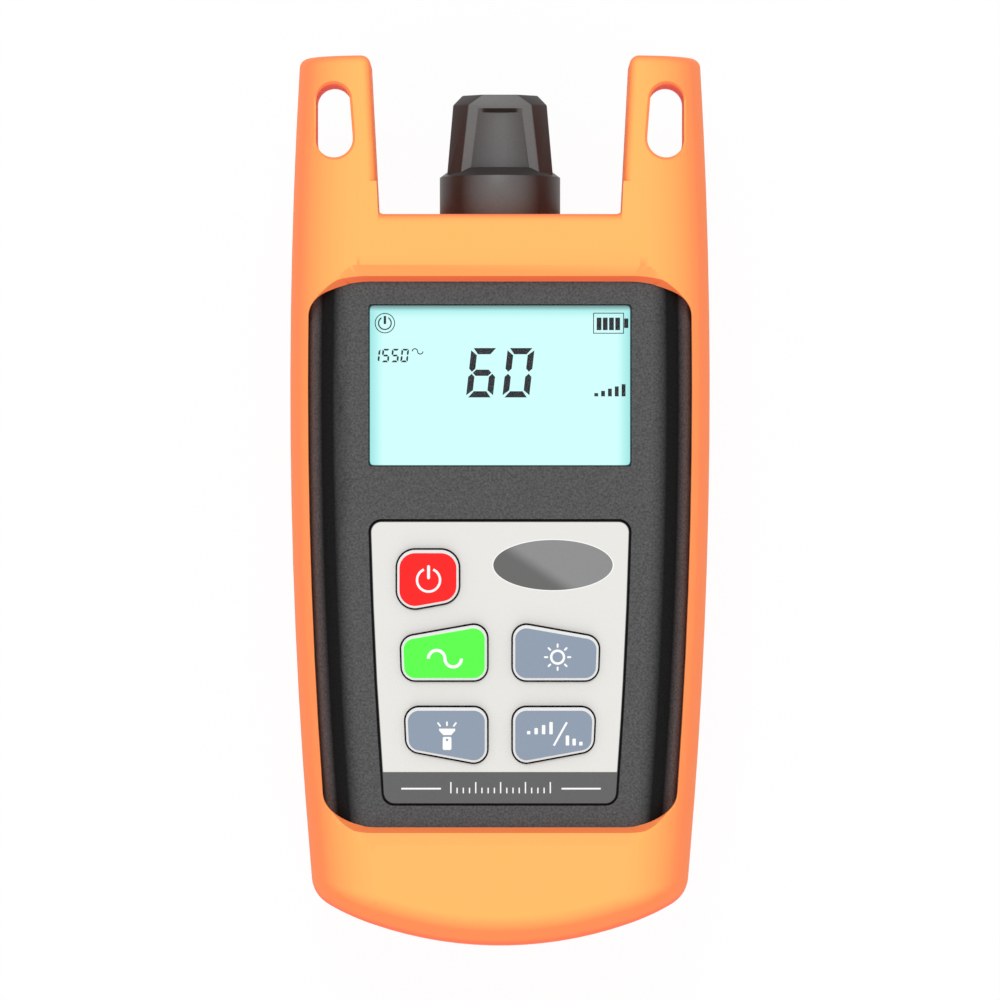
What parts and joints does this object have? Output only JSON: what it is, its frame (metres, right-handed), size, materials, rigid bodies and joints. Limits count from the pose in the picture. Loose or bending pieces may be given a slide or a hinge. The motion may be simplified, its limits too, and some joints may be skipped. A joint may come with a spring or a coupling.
{
  "type": "optical power meter",
  "caption": "Hand-held optical power meter in a rubber sleeve with two strap ears, a lit display, shaped keys, a fibre port under a pull-off cap, a torch and a battery door.",
  "frame": {"origin": "middle of the rear face that the meter lies on", "axes": "+X across the meter to the right of the display, +Y along it towards the fibre port, +Z out of the display"},
  "size_m": [0.0568, 0.12, 0.03],
  "materials": {
    "sleeve_rubber": "matte",
    "shell_plastic": "fine texture",
    "window_glass": "clear",
    "lcd_glass": "lit",
    "backlight": "diffuse",
    "white_plastic": "satin",
    "contact_rubber": "matte",
    "plate_plastic": "satin",
    "key_red": "satin",
    "key_green": "satin",
    "key_grey": "satin",
    "black_plastic": "satin",
    "board": "coated",
    "chip": "matte",
    "tinned_steel": "satin",
    "screw_steel": "satin",
    "port_nickel": "polished",
    "lens_plastic": "clear",
    "led_plastic": "clear",
    "cell_jacket": "satin"
  },
  "bodies": {
    "meter": {"amplifier_shield": "tinned_steel", "backlight_panel": "backlight", "battery_cells": "cell_jacket", "battery_contacts": "tinned_steel", "battery_springs": "tinned_steel", "board_screws": "screw_steel", "buzzer": "black_plastic", "contact_strips": "contact_rubber", "display_frame": "white_plastic", "display_window": "window_glass", "front_shell": "shell_plastic", "housing_screws": "screw_steel", "key_switches": "black_plastic", "keypad_plate": "plate_plastic", "lcd_panel": "lcd_glass", "main_board": "board", "optical_port": "port_nickel", "photodiode": "tinned_steel", "port_adapter": "port_nickel", "port_nut": "port_nickel", "processor": "chip", "protective_sleeve": "sleeve_rubber", "rear_shell": "shell_plastic", "torch_led": "led_plastic", "torch_lens": "lens_plastic"},
    "power_key": {"key_power": "key_red", "plunger_power": "black_plastic"},
    "wavelength_key": {"key_wavelength": "key_green", "plunger_wavelength": "black_plastic"},
    "backlight_key": {"key_backlight": "key_grey", "plunger_backlight": "black_plastic"},
    "torch_key": {"key_torch": "key_grey", "plunger_torch": "black_plastic"},
    "reference_key": {"key_reference": "key_grey", "plunger_reference": "black_plastic"},
    "door": {"battery_door": "shell_plastic"},
    "cap": {"cap_seal": "contact_rubber", "dust_cap": "black_plastic"}
  },
  "joints": [
    {"name": "power_press", "type": "slide", "parent": "meter", "child": "power_key", "axis": [0, 0, -1], "range_m": [0, 0.0005], "stiffness_N_per_m": 400},
    {"name": "wavelength_press", "type": "slide", "parent": "meter", "child": "wavelength_key", "axis": [0, 0, -1], "range_m": [0, 0.0005], "stiffness_N_per_m": 400},
    {"name": "backlight_press", "type": "slide", "parent": "meter", "child": "backlight_key", "axis": [0, 0, -1], "range_m": [0, 0.0005], "stiffness_N_per_m": 400},
    {"name": "torch_press", "type": "slide", "parent": "meter", "child": "torch_key", "axis": [0, 0, -1], "range_m": [0, 0.0005], "stiffness_N_per_m": 400},
    {"name": "reference_press", "type": "slide", "parent": "meter", "child": "reference_key", "axis": [0, 0, -1], "range_m": [0, 0.0005], "stiffness_N_per_m": 400},
    {"name": "door_swing", "type": "hinge", "parent": "meter", "child": "door", "pos_m": [0, -0.0456, 0.002], "axis": [-1, 0, 0], "range_deg": [0, 75]},
    {"name": "cap_pull", "type": "slide", "parent": "meter", "child": "cap", "axis": [0, 1, 0], "range_m": [0, 0.0301]}
  ]
}
